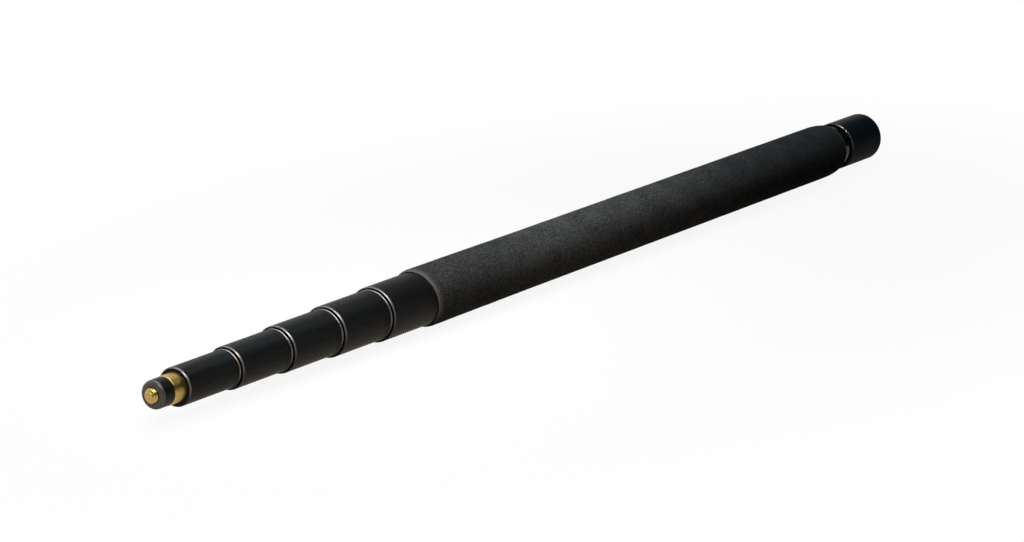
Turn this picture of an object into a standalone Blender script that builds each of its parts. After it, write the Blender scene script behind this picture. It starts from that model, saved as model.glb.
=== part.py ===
"""Five-section telescoping boom pole, lying along +X with its butt at the origin.

Lengths are in metres. Every piece is drawn standing on its butt, with its heights along its own Z
axis, and the empty named pole lays the whole assembly down so that the tip points along +X.
"""

import math

import bmesh
import bpy
from mathutils import Matrix, Vector

# Layout along the pole, from the butt to the tip
CAP_LENGTH = 0.0440
BUTT_TUBE_SHOWN = 0.0105
GRIP_LENGTH = 0.5150
LOCK_PITCH = 0.0495
LOCK_GAP = 0.0010
FITTING_SHOWN = 0.0101
NUT_LENGTH = 0.0110
STUD_PROUD = 0.0034

# Tubes
SECTIONS = 5
HANDLE_TUBE_DIAMETER = 0.0315
TUBE_WALL = 0.0009
TUBE_CLEARANCE = 0.00055
NESTING_SPACE = 0.0196

# Clearances
BOND_GAP = 0.00025
RUN_GAP = 0.0003
STOP_GAP = 0.0005
EDGE = 0.0008

# Twist locks
FERRULE_WALL = 0.0010
FERRULE_INSET = 0.0010
LIP_LENGTH = 0.0020
COLLAR_WALL = 0.0009
NOSE_LENGTH = 0.0030
NOSE_GAP = 0.0005
COLLET_LENGTH = 0.0232
COLLET_TAPER = 0.0150
COLLET_NOSE_WALL = 0.0010
COLLET_PLAY = 0.0006
SLITS = 8
SLIT_WIDTH = 0.0014
SLIT_DEPTH = 0.0180

# Guide bushes
BUSH_GAP = 0.0002
BUSH_FLANGE = 0.0050
BUSH_SPIGOT = 0.0100
BUSH_WALL = 0.0012

# Foam grip
GRIP_WALL = 0.0034
GRIP_FLARE = 0.00036
GRIP_FLARE_LENGTH = 0.1150
GRIP_FRONT_ROUND = 0.0020
GRIP_TAIL_LENGTH = 0.0145
GRIP_TAIL_DROP = 0.0014
GRIP_TAIL_ROUND = 0.0010
GRIP_TAIL_CURVE = 2.0

# Butt end
CAP_WALL = 0.00115
CAP_END_WALL = 0.0050
CAP_ROUND = 0.0041
BOSS_LENGTH = 0.0130
BOSS_WALL = 0.0020
PLUG_LENGTH = 0.0180
PLUG_FLANGE = 0.0015
PLUG_WALL = 0.0025
SEAL_LENGTH = 0.0015
SEAL_WALL = 0.0008
SEAL_EDGE = 0.0002

# Tip end
FITTING_STEP = 0.00065
FITTING_SPIGOT = 0.0160
FITTING_WALL = 0.0026
FITTING_WEB = 0.0080
FITTING_EDGE = 0.0006
STUD_DIAMETER = 0.009525
STUD_EDGE = 0.0016
NUT_DIAMETER = 0.0181
NUT_ROUND = 0.0018
NUT_EDGE = 0.0004

# Facets round each turned piece, and along each rounded edge
FACETS = 32
ARC_STEPS = 4
SMOOTH_ANGLE = math.radians(35.0)
WELD = 0.000001

# Finishes: base colour, roughness, metallic
FINISHES = {
    "black_anodised": ((0.020, 0.019, 0.018), 0.36, 0.85),
    "gloss_anodised": ((0.012, 0.012, 0.013), 0.20, 0.85),
    "foam": ((0.055, 0.055, 0.058), 0.95, 0.0),
    "brass": ((0.62, 0.46, 0.22), 0.28, 1.0),
    "acetal": ((0.75, 0.74, 0.70), 0.50, 0.0),
    "alloy": ((0.60, 0.60, 0.61), 0.35, 1.0),
    "rubber": ((0.012, 0.012, 0.012), 0.80, 0.0),
}


def tube_radius(section):
    """Outer radius of a section's tube, counted from 1 at the handle."""
    return HANDLE_TUBE_DIAMETER / 2 - (section - 1) * (TUBE_WALL + TUBE_CLEARANCE)


def tube_bore(section):
    """Inner radius of a section's tube."""
    return tube_radius(section) - TUBE_WALL


def crest_radius(section):
    """Outer radius of the threaded ferrule on a section's tube."""
    return tube_radius(section) + BOND_GAP + FERRULE_WALL


def collar_bore(section):
    """Bore of the lock collar that runs on a section's ferrule."""
    return crest_radius(section) + BOND_GAP


def collar_radius(section):
    """Outer radius of a section's lock collar, or of the tip sleeve on the last section."""
    return collar_bore(section) + COLLAR_WALL


def fitting_radius():
    """Outer radius of the brass fitting's body, a little inside the last tube's."""
    return tube_radius(SECTIONS) - FITTING_STEP


def lock_front(section):
    """Distance from the butt to the front face of a section's collar or sleeve."""
    return CAP_LENGTH + BUTT_TUBE_SHOWN + GRIP_LENGTH + section * LOCK_PITCH


# Heights inside a lock, from the collar's front face back towards the butt
COLLAR_LENGTH = LOCK_PITCH - LOCK_GAP
COLLET_FRONT = -NOSE_LENGTH - COLLET_PLAY
COLLET_REAR = COLLET_FRONT - COLLET_LENGTH
FERRULE_FRONT = COLLET_REAR - RUN_GAP
FERRULE_REAR = -COLLAR_LENGTH + FERRULE_INSET
LIP_REAR = FERRULE_FRONT - LIP_LENGTH
TUBE_FRONT = LIP_REAR - BOND_GAP

# Heights at the butt, from the cap's end face
PLUG_REAR = CAP_END_WALL + RUN_GAP
HANDLE_TUBE_REAR = PLUG_REAR + PLUG_FLANGE + BOND_GAP
PLUG_FRONT = PLUG_REAR + PLUG_FLANGE + PLUG_LENGTH

# The second section's rear end sets how far every section travels
SECOND_TUBE_REAR = PLUG_FRONT + NESTING_SPACE + BUSH_FLANGE + BOND_GAP
SECTION_TRAVEL = lock_front(1) + LIP_REAR - (SECOND_TUBE_REAR - BOND_GAP) - STOP_GAP


def tube_rear(section):
    """Distance from the butt to the rear end of a section's tube when the pole is closed."""
    if section == 1:
        return HANDLE_TUBE_REAR
    return SECOND_TUBE_REAR + (section - 2) * LOCK_PITCH


def arc(centre, radius, start, end, steps=ARC_STEPS):
    """Points on a round edge in the radius-height plane, with angles in degrees from +radius."""
    sweep = [math.radians(start + (end - start) * n / steps) for n in range(steps + 1)]
    return [(centre[0] + radius * math.cos(a), centre[1] + radius * math.sin(a)) for a in sweep]


def clear_scene():
    """Remove every object that the scene starts with."""
    for item in list(bpy.data.objects):
        bpy.data.objects.remove(item, do_unlink=True)


def new_collection(name):
    """Add a collection under the scene."""
    collection = bpy.data.collections.new(name)
    bpy.context.scene.collection.children.link(collection)
    return collection


def finish_material(name):
    """Make one Principled finish from the table at the top."""
    colour, roughness, metallic = FINISHES[name]
    material = bpy.data.materials.new(name)
    material.use_nodes = True
    shader = material.node_tree.nodes["Principled BSDF"]
    shader.inputs["Base Color"].default_value = (*colour, 1.0)
    shader.inputs["Roughness"].default_value = roughness
    shader.inputs["Metallic"].default_value = metallic
    return material


class Pole:
    """Holds the collections, finishes and empties that the pieces are built into."""

    def __init__(self):
        """Make the collections, the finishes and the empty that lays the pole down."""
        self.parts = new_collection("boom_pole")
        self.cutters = new_collection("boom_pole_cutters")
        self.finishes = {name: finish_material(name) for name in FINISHES}
        self.root = self.empty("pole", None, 0.0)
        self.root.rotation_mode = "ZYX"
        self.root.rotation_euler = (0.0, math.pi / 2, math.pi / FACETS)

    def empty(self, name, parent, height):
        """Add an empty on the pole's axis, at a height above its parent."""
        empty = bpy.data.objects.new(name, None)
        empty.parent = parent
        empty.location = (0.0, 0.0, height)
        empty.empty_display_size = CAP_LENGTH / 2
        self.parts.objects.link(empty)
        return empty

    def turned(self, name, parent, finish, profile, closed=True):
        """Turn a profile of (radius, height) points about the axis of its parent empty."""
        mesh = bpy.data.meshes.new(name)
        edges = [(n, n + 1) for n in range(len(profile) - 1)]
        if closed:
            edges.append((len(profile) - 1, 0))
        mesh.from_pydata([(radius, 0.0, height) for radius, height in profile], edges, [])
        piece = bpy.data.objects.new(name, mesh)
        piece.parent = parent
        self.parts.objects.link(piece)
        screw = piece.modifiers.new("turn", "SCREW")
        screw.axis = "Z"
        screw.angle = math.tau
        screw.steps = FACETS
        screw.render_steps = FACETS
        screw.use_merge_vertices = True
        screw.merge_threshold = WELD
        mesh.materials.append(self.finishes[finish])
        return piece

    def slit_cutter(self, name, parent, start, end):
        """Make radial blades that cut evenly spaced slits between two heights."""
        reach = HANDLE_TUBE_DIAMETER
        mesh = bpy.data.meshes.new(name)
        cutter = bpy.data.objects.new(name, mesh)
        cutter.parent = parent
        cutter.hide_render = True
        cutter.display_type = "WIRE"
        self.cutters.objects.link(cutter)
        with_blades = bmesh_blades(SLITS, reach, start, end)
        with_blades.to_mesh(mesh)
        with_blades.free()
        return cutter


def bmesh_blades(count, reach, start, end):
    """Boxes that stand round the axis, from a quarter of their reach out to their reach."""
    blades = bmesh.new()
    inner = reach / 4
    for n in range(count):
        turn = Matrix.Rotation(math.tau * n / count + math.pi / FACETS, 4, "Z")
        place = Matrix.Translation(Vector(((inner + reach) / 2, 0.0, (start + end) / 2)))
        size = Matrix.Diagonal(Vector((reach - inner, SLIT_WIDTH, abs(end - start), 1.0)))
        bmesh.ops.create_cube(blades, size=1.0, matrix=turn @ place @ size)
    return blades


def build_tube(pole, section, parent):
    """One drawn tube, from its own rear end forward."""
    outer = tube_radius(section)
    bore = tube_bore(section)
    length = lock_front(section) + TUBE_FRONT - tube_rear(section)
    profile = [(outer, length), (outer, 0.0), (bore, 0.0), (bore, length)]
    return pole.turned(f"tube_{section}", parent, "gloss_anodised", profile)


def build_ferrule(pole, section, lock):
    """Threaded ring bonded over a tube's mouth, with a lip that stops the next section's bush."""
    crest = crest_radius(section)
    bore = tube_radius(section) + BOND_GAP
    lip = tube_radius(section + 1) + RUN_GAP
    edge = FERRULE_WALL / 2
    profile = [
        (lip, FERRULE_FRONT),
        (crest - edge, FERRULE_FRONT),
        (crest, FERRULE_FRONT - edge),
        (crest, FERRULE_REAR),
        (bore, FERRULE_REAR),
        (bore, LIP_REAR),
        (lip, LIP_REAR),
    ]
    return pole.turned(f"ferrule_{section}", lock, "alloy", profile)


def build_collet(pole, section, lock):
    """Tapered gripping ring whose front is slit into spring fingers."""
    bore = tube_radius(section + 1) + RUN_GAP
    heel = crest_radius(section)
    nose = bore + COLLET_NOSE_WALL
    profile = [
        (bore, COLLET_FRONT),
        (nose, COLLET_FRONT),
        (heel, COLLET_FRONT - COLLET_TAPER),
        (heel, COLLET_REAR),
        (bore, COLLET_REAR),
    ]
    collet = pole.turned(f"collet_{section}", lock, "acetal", profile)
    start = COLLET_FRONT + NOSE_LENGTH
    cutter = pole.slit_cutter(f"collet_slits_{section}", lock, start, COLLET_FRONT - SLIT_DEPTH)
    cut = collet.modifiers.new("slits", "BOOLEAN")
    cut.operation = "DIFFERENCE"
    cut.solver = "EXACT"
    cut.object = cutter
    return collet


def build_collar(pole, section, lock):
    """Twist collar with a cone inside that closes the collet as it is screwed home."""
    outer = collar_radius(section)
    bore = collar_bore(section)
    nose_bore = tube_radius(section + 1) + NOSE_GAP
    cone_front = tube_radius(section + 1) + RUN_GAP + COLLET_NOSE_WALL + RUN_GAP
    profile = [
        (nose_bore, 0.0),
        (outer - EDGE, 0.0),
        (outer, -EDGE),
        (outer, -COLLAR_LENGTH + EDGE),
        (outer - EDGE, -COLLAR_LENGTH),
        (bore, -COLLAR_LENGTH),
        (bore, COLLET_FRONT - COLLET_TAPER),
        (cone_front, -NOSE_LENGTH),
        (nose_bore, -NOSE_LENGTH),
    ]
    return pole.turned(f"lock_collar_{section}", lock, "black_anodised", profile)


def build_bush(pole, section, parent):
    """Plastic guide plugged into a tube's rear end, which slides in the tube around it."""
    flange = tube_bore(section - 1) - BUSH_GAP
    spigot = tube_bore(section) - BOND_GAP
    bore = spigot - BUSH_WALL
    rear = -BOND_GAP - BUSH_FLANGE
    edge = BUSH_WALL / 2
    profile = [
        (bore, BUSH_SPIGOT),
        (spigot - edge, BUSH_SPIGOT),
        (spigot, BUSH_SPIGOT - edge),
        (spigot, -BOND_GAP),
        (flange, -BOND_GAP),
        (flange, rear + edge),
        (flange - edge, rear),
        (bore, rear),
    ]
    return pole.turned(f"guide_bush_{section}", parent, "acetal", profile)


def build_grip(pole, parent):
    """Foam sleeve, a little fuller at its front and rounded down at its tail."""
    bore = tube_radius(1) + BOND_GAP
    radius = bore + GRIP_WALL
    front = radius + GRIP_FLARE
    tail = radius - GRIP_TAIL_DROP
    rounding = GRIP_FRONT_ROUND
    profile = [(bore, GRIP_LENGTH)]
    profile += arc((front - rounding, GRIP_LENGTH - rounding), rounding, 90.0, 0.0, ARC_STEPS // 2)
    profile.append((radius, GRIP_LENGTH - GRIP_FLARE_LENGTH))
    for n in range(ARC_STEPS + 1):
        share = n / ARC_STEPS
        drop = GRIP_TAIL_DROP * share ** GRIP_TAIL_CURVE
        profile.append((radius - drop, GRIP_TAIL_ROUND + (1.0 - share) * GRIP_TAIL_LENGTH))
    profile.append((tail - GRIP_TAIL_ROUND, 0.0))
    profile.append((bore, 0.0))
    return pole.turned("foam_grip", parent, "foam", profile)


def build_end_cap(pole, parent):
    """Deep cap over the handle's butt, with a threaded boss inside and a rounded end."""
    skirt = tube_radius(1) + RUN_GAP
    outer = skirt + CAP_WALL
    boss = tube_bore(1) - BOND_GAP - PLUG_WALL - RUN_GAP
    hollow = boss - BOSS_WALL
    boss_top = CAP_END_WALL + BOSS_LENGTH
    edge = CAP_WALL / 2
    profile = [
        (0.0, CAP_END_WALL),
        (hollow, CAP_END_WALL),
        (hollow, boss_top),
        (boss, boss_top),
        (boss, CAP_END_WALL),
        (skirt, CAP_END_WALL),
        (skirt, CAP_LENGTH),
        (outer - edge, CAP_LENGTH),
        (outer, CAP_LENGTH - edge),
    ]
    profile += arc((outer - CAP_ROUND, CAP_ROUND), CAP_ROUND, 0.0, -90.0)
    profile.append((0.0, 0.0))
    return pole.turned("end_cap", parent, "black_anodised", profile, closed=False)


def build_butt_plug(pole, parent):
    """Threaded plug bonded into the handle's butt, which the end cap screws into."""
    flange = tube_radius(1)
    plug = tube_bore(1) - BOND_GAP
    bore = plug - PLUG_WALL
    profile = [
        (bore, PLUG_FRONT),
        (plug, PLUG_FRONT),
        (plug, PLUG_REAR + PLUG_FLANGE),
        (flange, PLUG_REAR + PLUG_FLANGE),
        (flange, PLUG_REAR),
        (bore, PLUG_REAR),
    ]
    return pole.turned("butt_plug", parent, "alloy", profile)


def build_cap_seal(pole, parent):
    """Rubber ring round the handle tube, carried in front of the cap's rim."""
    bore = tube_radius(1) + RUN_GAP
    outer = bore + SEAL_WALL
    rear = CAP_LENGTH + RUN_GAP
    front = rear + SEAL_LENGTH
    profile = [
        (bore, front),
        (outer - SEAL_EDGE, front),
        (outer, front - SEAL_EDGE),
        (outer, rear + SEAL_EDGE),
        (outer - SEAL_EDGE, rear),
        (bore, rear),
    ]
    return pole.turned("cap_seal", parent, "rubber", profile)


def build_tip_sleeve(pole, tip):
    """Knurled sleeve bonded over the last tube's end and round the brass fitting."""
    outer = collar_radius(SECTIONS)
    tube_seat = tube_radius(SECTIONS) + BOND_GAP
    mouth = fitting_radius() + BOND_GAP
    step = TUBE_FRONT + BOND_GAP
    profile = [
        (mouth, 0.0),
        (outer - EDGE, 0.0),
        (outer, -EDGE),
        (outer, -COLLAR_LENGTH + EDGE),
        (outer - EDGE, -COLLAR_LENGTH),
        (tube_seat, -COLLAR_LENGTH),
        (tube_seat, step),
        (mouth, step),
    ]
    return pole.turned("tip_sleeve", tip, "black_anodised", profile)


def build_tip_fitting(pole, tip):
    """Hollow brass fitting: spigot in the tube, body in the sleeve, and the threaded stud."""
    body = fitting_radius()
    spigot = tube_bore(SECTIONS) - BOND_GAP
    stud = STUD_DIAMETER / 2
    hollow = spigot - FITTING_WALL
    seat = TUBE_FRONT + BOND_GAP
    top = FITTING_SHOWN + NUT_LENGTH + STUD_PROUD
    profile = [
        (0.0, top),
        (stud - STUD_EDGE, top),
        (stud, top - STUD_EDGE),
        (stud, FITTING_SHOWN),
        (body - FITTING_EDGE, FITTING_SHOWN),
        (body, FITTING_SHOWN - FITTING_EDGE),
        (body, seat),
        (spigot, seat),
        (spigot, seat - FITTING_SPIGOT),
        (hollow, seat - FITTING_SPIGOT),
        (hollow, FITTING_SHOWN - FITTING_WEB),
        (0.0, FITTING_SHOWN - FITTING_WEB),
    ]
    return pole.turned("tip_fitting", tip, "brass", profile, closed=False)


def build_lock_nut(pole, tip):
    """Round thumb nut on the stud, seated on the brass fitting."""
    radius = NUT_DIAMETER / 2
    bore = STUD_DIAMETER / 2 + BOND_GAP
    rear = FITTING_SHOWN + BOND_GAP
    front = FITTING_SHOWN + NUT_LENGTH
    profile = [(bore, front)]
    profile += arc((radius - NUT_ROUND, front - NUT_ROUND), NUT_ROUND, 90.0, 0.0)
    profile += [(radius, rear + NUT_EDGE), (radius - NUT_EDGE, rear), (bore, rear)]
    return pole.turned("lock_nut", tip, "black_anodised", profile)


def build_lock(pole, section, carrier):
    """Ferrule, collet and collar at the mouth of one section."""
    lock = pole.empty(f"lock_{section}", carrier, lock_front(section) - tube_rear(section))
    return [
        build_ferrule(pole, section, lock),
        build_collet(pole, section, lock),
        build_collar(pole, section, lock),
    ]


def shade(pieces):
    """Freeze each piece's modifiers into its mesh and shade its round faces smooth."""
    graph = bpy.context.evaluated_depsgraph_get()
    frozen = [bpy.data.meshes.new_from_object(piece.evaluated_get(graph)) for piece in pieces]
    for piece, mesh in zip(pieces, frozen):
        piece.modifiers.clear()
        piece.data = mesh
        mesh.name = piece.name
        mesh.shade_smooth()
        mesh.set_sharp_from_angle(angle=SMOOTH_ANGLE)


def build():
    """Build the pole from its handle out to its tip."""
    clear_scene()
    pole = Pole()
    pieces = []
    handle = pole.empty("handle", pole.root, 0.0)
    carrier = pole.empty("section_1", handle, tube_rear(1))
    grip_seat = pole.empty("grip_seat", handle, CAP_LENGTH + BUTT_TUBE_SHOWN)
    pieces.append(build_grip(pole, grip_seat))
    pieces.append(build_butt_plug(pole, handle))
    pieces.append(build_cap_seal(pole, handle))
    pieces.append(build_end_cap(pole, handle))
    for section in range(1, SECTIONS + 1):
        if section > 1:
            rise = tube_rear(section) - tube_rear(section - 1)
            carrier = pole.empty(f"section_{section}", carrier, rise)
            pieces.append(build_bush(pole, section, carrier))
        pieces.append(build_tube(pole, section, carrier))
        if section < SECTIONS:
            pieces += build_lock(pole, section, carrier)
    tip = pole.empty("tip", carrier, lock_front(SECTIONS) - tube_rear(SECTIONS))
    pieces.append(build_tip_sleeve(pole, tip))
    pieces.append(build_tip_fitting(pole, tip))
    pieces.append(build_lock_nut(pole, tip))
    bpy.context.view_layer.update()
    shade(pieces)
    closed = lock_front(SECTIONS) + FITTING_SHOWN + NUT_LENGTH + STUD_PROUD
    opened = closed + (SECTIONS - 1) * SECTION_TRAVEL
    print(f"closed {closed:.4f} m, travel {SECTION_TRAVEL:.4f} m a section, open {opened:.4f} m")


build()
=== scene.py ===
"""Looks for a closed telescoping boom pole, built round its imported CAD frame.

Lengths are in metres. The pole lies along +X, with its butt at the origin and its tip forward.
"""

import logging
import math
from abc import ABC, abstractmethod
from collections.abc import Callable, Mapping, Sequence
from dataclasses import dataclass, field, replace
from enum import Enum
from typing import Any, Union

import bpy
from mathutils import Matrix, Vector, noise


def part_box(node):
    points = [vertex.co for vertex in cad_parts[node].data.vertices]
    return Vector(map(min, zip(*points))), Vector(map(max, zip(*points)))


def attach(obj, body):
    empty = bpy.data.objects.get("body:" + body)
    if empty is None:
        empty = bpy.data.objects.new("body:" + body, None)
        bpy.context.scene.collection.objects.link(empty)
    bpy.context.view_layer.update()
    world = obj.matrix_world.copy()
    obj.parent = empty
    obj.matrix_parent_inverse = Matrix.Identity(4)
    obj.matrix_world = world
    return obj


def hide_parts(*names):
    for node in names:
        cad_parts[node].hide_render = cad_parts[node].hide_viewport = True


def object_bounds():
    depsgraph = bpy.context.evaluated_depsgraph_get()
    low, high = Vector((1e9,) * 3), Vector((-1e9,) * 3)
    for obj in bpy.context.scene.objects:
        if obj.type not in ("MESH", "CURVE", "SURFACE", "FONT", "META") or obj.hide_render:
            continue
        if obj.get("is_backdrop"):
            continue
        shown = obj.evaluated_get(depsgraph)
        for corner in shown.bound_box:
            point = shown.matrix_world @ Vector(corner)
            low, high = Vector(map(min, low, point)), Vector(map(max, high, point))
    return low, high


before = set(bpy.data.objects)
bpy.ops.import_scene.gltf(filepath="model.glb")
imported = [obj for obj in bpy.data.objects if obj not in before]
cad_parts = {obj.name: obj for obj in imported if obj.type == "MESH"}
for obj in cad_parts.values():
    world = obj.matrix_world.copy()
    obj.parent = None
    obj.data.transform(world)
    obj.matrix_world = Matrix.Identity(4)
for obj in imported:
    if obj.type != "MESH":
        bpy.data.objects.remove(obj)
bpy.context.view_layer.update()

log = logging.getLogger("boom_pole")

Colour = tuple[float, float, float]
Pair = tuple[float, float]
Triple = tuple[float, float, float]
ByNumber = Callable[[int], float]
Feed = Union["Wire", float, Sequence[float]]

SECTIONS = 5
CAD_FACETS = 32
FRAME_WIDTH = 1024
SHARP = math.radians(24.0)
AXIS_HOLE = 0.00002
BAKE_MAP = "OFBake"
RUB = "rub"
WHITE = (1.0, 1.0, 1.0)


class Slot(Enum):
    """The record's material slots."""

    BLACK = "black_anodised"
    GLOSS = "gloss_anodised"
    FOAM = "foam"
    BRASS = "brass"
    ACETAL = "acetal"
    ALLOY = "alloy"
    RUBBER = "rubber"


class Look(Enum):
    """The finishes, named for where they are on the pole."""

    COLLAR = "collar_black"
    CAP = "cap_black"
    NUT = "nut_black"
    TUBE = "tube_gloss"
    FOAM = "grip_foam_skin"
    BRASS = "turned_brass"
    ACETAL = "pale_acetal"
    ALLOY = "machined_alloy"
    RUBBER = "seal_rubber"


class Ray(Enum):
    """The kinds of ray that the floor and the surroundings tell apart."""

    CAMERA = "Is Camera Ray"
    GLOSSY = "Is Glossy Ray"
    CLEAR = "Is Transmission Ray"


class Wire:
    """A shader socket that takes part in Python arithmetic."""

    def __init__(self, graph: "Graph", socket: bpy.types.NodeSocket | None) -> None:
        """Keep the graph and the socket that the wire leaves from, if there is one."""
        self.graph = graph
        self.socket = socket

    def _math(self, operation: str, first: Feed, second: Feed) -> "Wire":
        """Add one Math node for an operator."""
        return self.graph.node("Math", {"operation": operation}, {0: first, 1: second})

    def __add__(self, other: Feed) -> "Wire":
        """Add a value to this one."""
        return self._math("ADD", self, other)

    def __radd__(self, other: Feed) -> "Wire":
        """Add this value to another."""
        return self._math("ADD", other, self)

    def __sub__(self, other: Feed) -> "Wire":
        """Take a value from this one."""
        return self._math("SUBTRACT", self, other)

    def __rsub__(self, other: Feed) -> "Wire":
        """Take this value from another."""
        return self._math("SUBTRACT", other, self)

    def __mul__(self, other: Feed) -> "Wire":
        """Multiply this value by another."""
        return self._math("MULTIPLY", self, other)

    def __rmul__(self, other: Feed) -> "Wire":
        """Multiply another value by this one."""
        return self._math("MULTIPLY", other, self)

    def larger(self, other: Feed) -> "Wire":
        """The larger of this value and another."""
        return self._math("MAXIMUM", self, other)

    def swing(self, amount: float) -> "Wire":
        """How far this value is from its middle, 0.5, times an amount."""
        return amount * (self - 0.5)

    def eased(self, low: float, high: float) -> "Wire":
        """Ease this value from 0 at low to 1 at high."""
        inputs = {"Value": self, "From Min": low, "From Max": high}
        return self.graph.node("MapRange", {"interpolation_type": "SMOOTHSTEP"}, inputs)


class Graph:
    """A node tree whose nodes all come from one method."""

    def __init__(self, tree: bpy.types.NodeTree) -> None:
        """Start from an empty tree."""
        self.tree = tree
        tree.nodes.clear()

    def node(
        self,
        kind: str,
        settings: Mapping[str, Any] | None = None,
        inputs: Mapping[Union[int, str], Feed] | None = None,
        output: Union[int, str] = 0,
    ) -> Wire:
        """Add a node, set it up and plug it in.

        Args:
            kind: The node's type, without the ShaderNode in front.
            settings: Attributes of the node, which are set first.
            inputs: Values or wires, by the socket's number or name.
            output: The socket that the result leaves from.

        Returns:
            The wire from that socket.
        """
        made = self.tree.nodes.new("ShaderNode" + kind)
        for name, value in (settings or {}).items():
            setattr(made, name, value)
        for key, value in (inputs or {}).items():
            self.plug(made.inputs[key], value)
        return Wire(self, made.outputs[output] if made.outputs else None)

    def plug(self, socket: bpy.types.NodeSocket, value: Feed) -> None:
        """Link a wire to a socket, or set the socket's own value.

        Args:
            socket: The input that is fed.
            value: A wire, a number or the numbers of a colour or vector.
        """
        if isinstance(value, Wire):
            self.tree.links.new(value.socket, socket)
        elif socket.type == "RGBA" and len(value) == 3:
            socket.default_value = (*value, 1.0)
        else:
            socket.default_value = value

    def mix(self, share: Feed, first: Feed, second: Feed) -> Wire:
        """Mix two colours, with the given share of the second."""
        return self.node("Mix", {"data_type": "RGBA"}, {0: share, 6: first, 7: second}, 2)

    def place(self) -> Wire:
        """The point on the piece, in the pole's own frame."""
        return self.node("TexCoord", output="Object")

    def along(self) -> Wire:
        """The place along the pole."""
        return self.node("SeparateXYZ", {}, {0: self.place()}, "X")

    def stretched(self, scale: Sequence[float]) -> Wire:
        """The point on the piece, scaled along each axis."""
        return self.node("VectorMath", {"operation": "MULTIPLY"}, {0: self.place(), 1: scale})

    def noise(self, point: Wire, scale: float, detail: float) -> Wire:
        """Soft noise at a point, from 0 to 1, with a feature about every 1 / scale."""
        return self.node("TexNoise", {}, {"Vector": point, "Scale": scale, "Detail": detail})

    def grain(self, size: float, detail: float = 2.0) -> Wire:
        """Soft noise over the piece, from 0 to 1, with features of about one size."""
        return self.noise(self.place(), 1 / size, detail)

    def rings(self, pitch: float, detail: float = 3.0) -> Wire:
        """Turning marks that run round the pole, about one for each pitch along it."""
        inputs = {"W": self.along(), "Scale": 1 / pitch, "Detail": detail}
        return self.node("TexNoise", {"noise_dimensions": "1D"}, inputs)

    def cells(self, size: float) -> Wire:
        """How far a point is from the middle of its cell, among cells of about one size."""
        inputs = {"Vector": self.place(), "Scale": 1 / size}
        return self.node("TexVoronoi", {"feature": "SMOOTH_F1"}, inputs)

    def rub(self) -> Wire:
        """How far a point is rubbed by handling, and on some edges painted highlight, as the mesh's
        mark says.
        """
        return self.node("Attribute", {"attribute_name": RUB}, output="Fac")

    def ray(self, kind: Ray) -> Wire:
        """1 for a ray of one kind, else 0."""
        return self.node("LightPath", output=kind.value)

    def seen(self) -> Wire:
        """1 for a ray from the camera or one that a shiny or clear surface sent on, else 0."""
        return self.ray(Ray.CAMERA).larger(self.ray(Ray.GLOSSY)).larger(self.ray(Ray.CLEAR))


class Shader(Graph):
    """A material with one Principled shader."""

    def __init__(self, name: str) -> None:
        """Make the material and its shader.

        Args:
            name: The material's name.
        """
        self.material = bpy.data.materials.new(name)
        self.material.use_nodes = True
        super().__init__(self.material.node_tree)
        surface = self.node("BsdfPrincipled")
        self.sockets = surface.socket.node.inputs
        self.node("OutputMaterial", {}, {"Surface": surface})

    def feed(self, **values: Feed) -> None:
        """Feed the shader's sockets, named with underscores for their spaces."""
        for name, value in values.items():
            self.plug(self.sockets[name.replace("_", " ")], value)

    def bump(self, height: Wire, distance: float) -> Wire:
        """A normal that follows a height from 0 to 1, over a distance in metres."""
        return self.node("Bump", {}, {"Height": height, "Distance": distance})


def scaled(colour: Colour, strength: float) -> list[float]:
    """A colour made darker or lighter."""
    return [strength * part for part in colour]


@dataclass(frozen=True)
class Finish(ABC):
    """What every finish has.

    Attributes:
        slot: The record's material slot; it is not used.
        roughness: The surface's roughness, before its patches and marks change it.
    """

    slot: Slot
    roughness: float

    @abstractmethod
    def paint(self, shader: Shader) -> None:
        """Add the finish to a shader."""


@dataclass(frozen=True)
class Anodised(Finish):
    """Dyed anodised alloy, paler and smoother where edges and crests are rubbed.

    Attributes:
        dye: The dye's colour where it is deep.
        rubbed: The bare alloy's colour.
        shine: How strongly the skin reflects.
        polish: How much smoother it is where it is rubbed.
        patch: Size of the cloudy patches.
        grain: Size of the grain.
        marks: Pitch of the turning marks.
        relief: Depth of the marks and the grain.
        marks_share: The marks' share of that relief.
        thin: The dye's strength where it is thin.
        deep: How deep the dye is at the least, and what a patch adds to that.
        patch_rough: What the patches change the roughness by.
        grain_rough: What the grain changes it by.
        even_rub: Share of the rubbing that is the same in every patch.
        bare: How metallic the rubbed places are.
    """

    dye: Colour
    rubbed: Colour
    shine: float
    polish: float = 0.10
    patch: float = 0.014
    grain: float = 0.0005
    marks: float = 0.00045
    relief: float = 0.000006
    marks_share: float = 0.6
    thin: float = 0.5
    deep: Pair = (0.72, 0.4)
    patch_rough: float = 0.10
    grain_rough: float = 0.08
    even_rub: float = 0.55
    bare: float = 0.85

    def paint(self, shader: Shader) -> None:
        """Add the dye, its cloudiness, the turning marks and the rubbed edges.

        Args:
            shader: The shader that is painted.
        """
        patch = shader.grain(self.patch, detail=3.0)
        grain = shader.grain(self.grain)
        rub = shader.rub() * (self.even_rub + (1 - self.even_rub) * patch)
        least, more = self.deep
        cloudy = shader.mix(least + more * patch, scaled(self.dye, self.thin), self.dye)
        relief = self.marks_share * shader.rings(self.marks) + (1 - self.marks_share) * grain
        roughness = self.roughness + patch.swing(self.patch_rough) + grain.swing(self.grain_rough)
        shader.feed(
            Base_Color=shader.mix(rub, cloudy, self.rubbed),
            Roughness=roughness - self.polish * rub,
            Metallic=self.bare * rub,
            Specular_IOR_Level=self.shine,
            Normal=shader.bump(relief, self.relief),
        )


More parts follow.
